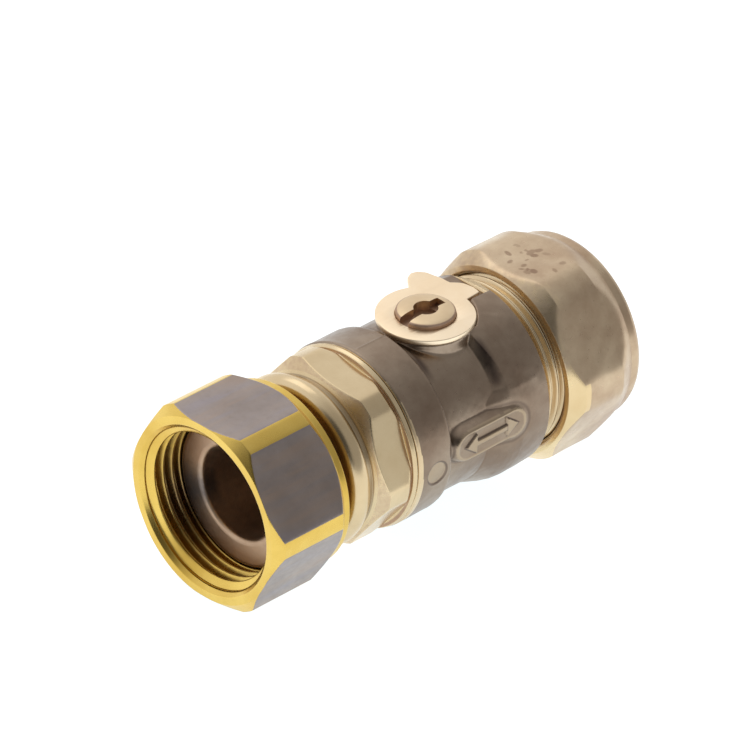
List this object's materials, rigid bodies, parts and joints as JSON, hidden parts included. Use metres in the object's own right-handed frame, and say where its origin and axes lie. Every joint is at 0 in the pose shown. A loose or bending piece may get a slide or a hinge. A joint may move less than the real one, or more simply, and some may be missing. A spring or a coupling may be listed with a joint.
{
  "type": "isolating ball valve",
  "caption": "Straight quarter-turn isolating ball valve with a screwdriver slot, a swivel union nut at one end and a compression tube end at the other.",
  "frame": {"origin": "on the flow axis at the first crest of the swivel nut's thread, 1 mm inside the nut's mouth face", "axes": "+X along the flow axis from the swivel nut to the compression end, +Z along the stem towards its screwdriver slot, -Y out of the forged marking pad"},
  "size_m": [0.0775, 0.0344, 0.0323],
  "materials": {
    "swivel_nut_brass": "machined, tarnished flats",
    "tail_brass": "machined",
    "forged_brass": "hot-stamped, brown tarnish",
    "ptfe": "matte",
    "ball_chrome": "polished",
    "stem_brass": "machined",
    "nitrile_rubber": "matte",
    "plate_brass": "blanked sheet, bright",
    "olive_brass": "machined",
    "compression_nut_brass": "hot-stamped, brown tarnish, machined chamfers"
  },
  "bodies": {
    "body": {"valve_body": "forged_brass", "end_connector": "tail_brass", "seat_inlet": "ptfe", "seat_outlet": "ptfe", "stem_washer": "ptfe"},
    "union_nut": {"swivel_nut": "swivel_nut_brass"},
    "stem_and_ball": {"stem": "stem_brass", "stop_plate": "plate_brass", "ball": "ball_chrome", "stem_oring_lower": "nitrile_rubber", "stem_oring_upper": "nitrile_rubber"},
    "olive": {"olive": "olive_brass"},
    "compression_nut": {"compression_nut": "compression_nut_brass"}
  },
  "joints": [
    {"name": "union_nut_spin", "type": "hinge", "parent": "body", "child": "union_nut", "pos_m": [0.007, 0, 0], "axis": [1, 0, 0], "continuous": true},
    {"name": "stem_turn", "type": "hinge", "parent": "body", "child": "stem_and_ball", "pos_m": [0.0445, 0, 0], "axis": [0, 0, 1], "range_deg": [0, 90]},
    {"name": "olive_slide", "type": "slide", "parent": "body", "child": "olive", "axis": [1, 0, 0], "range_m": [0, 0.0046]},
    {"name": "compression_nut_screw", "type": "hinge", "parent": "olive", "child": "compression_nut", "pos_m": [0.069, 0, 0], "axis": [1, 0, 0], "range_deg": [0, 1080]}
  ],
  "couplings": [
    {"joint": "olive_slide", "follows": "compression_nut_screw", "m_per_rad": 0.00023873}
  ]
}
